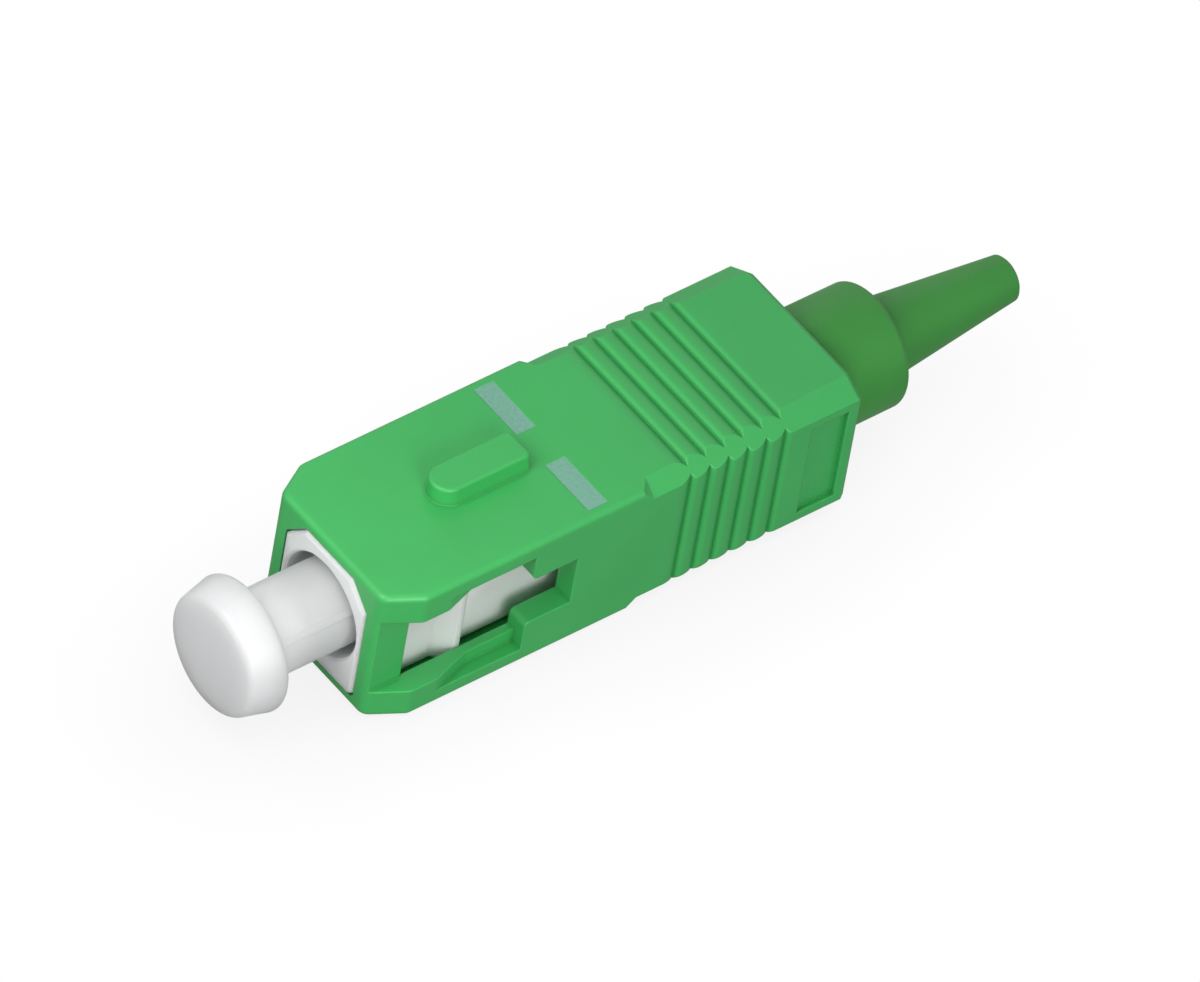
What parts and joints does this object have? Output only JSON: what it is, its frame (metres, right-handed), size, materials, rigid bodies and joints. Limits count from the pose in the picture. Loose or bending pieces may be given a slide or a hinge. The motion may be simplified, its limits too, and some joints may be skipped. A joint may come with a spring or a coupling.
{
  "type": "fibre optic plug connector",
  "caption": "Push-pull fibre plug with sliding coupling sleeve, sprung angled ferrule, dust cap and slim boot for buffered fibre.",
  "frame": {"origin": "on the ferrule axis, in the plane of the coupling sleeve's front face", "axes": "+X along the ferrule axis from the mating face towards the boot, +Z towards the key side, the flat underside faces -Z"},
  "size_m": [0.0424, 0.009, 0.0083],
  "materials": {
    "sleeve_green": "satin moulded PBT",
    "mark_paint": "flat marking ink",
    "frame_white": "satin moulded PBT",
    "ferrule_ceramic": "ground zirconia ceramic",
    "flange_metal": "nickel-plated turned metal",
    "liner_white": "extruded soft tube",
    "spring_steel": "drawn stainless wire",
    "ring_metal": "nickel-plated turned metal",
    "boot_green": "satin moulded elastomer",
    "cap_natural": "translucent natural polyethylene"
  },
  "bodies": {
    "plug": {"plug_frame": "frame_white", "stop_ring": "ring_metal", "boot": "boot_green"},
    "sleeve": {"coupling_sleeve": "sleeve_green", "index_marks": "mark_paint"},
    "ferrule_unit": {"ferrule": "ferrule_ceramic", "ferrule_flange": "flange_metal", "ferrule_tube": "liner_white", "spring": "spring_steel"},
    "cap": {"dust_cap": "cap_natural"}
  },
  "joints": [
    {"name": "sleeve_slide", "type": "slide", "parent": "plug", "child": "sleeve", "axis": [1, 0, 0], "range_m": [0, 0.0015]},
    {"name": "ferrule_float", "type": "slide", "parent": "plug", "child": "ferrule_unit", "axis": [1, 0, 0], "range_m": [0, 0.001], "stiffness_N_per_m": 1700, "deforming": ["spring"]},
    {"name": "dust_cap_pull", "type": "slide", "parent": "ferrule_unit", "child": "cap", "axis": [-1, 0, 0], "range_m": [0, 0.0065]}
  ]
}
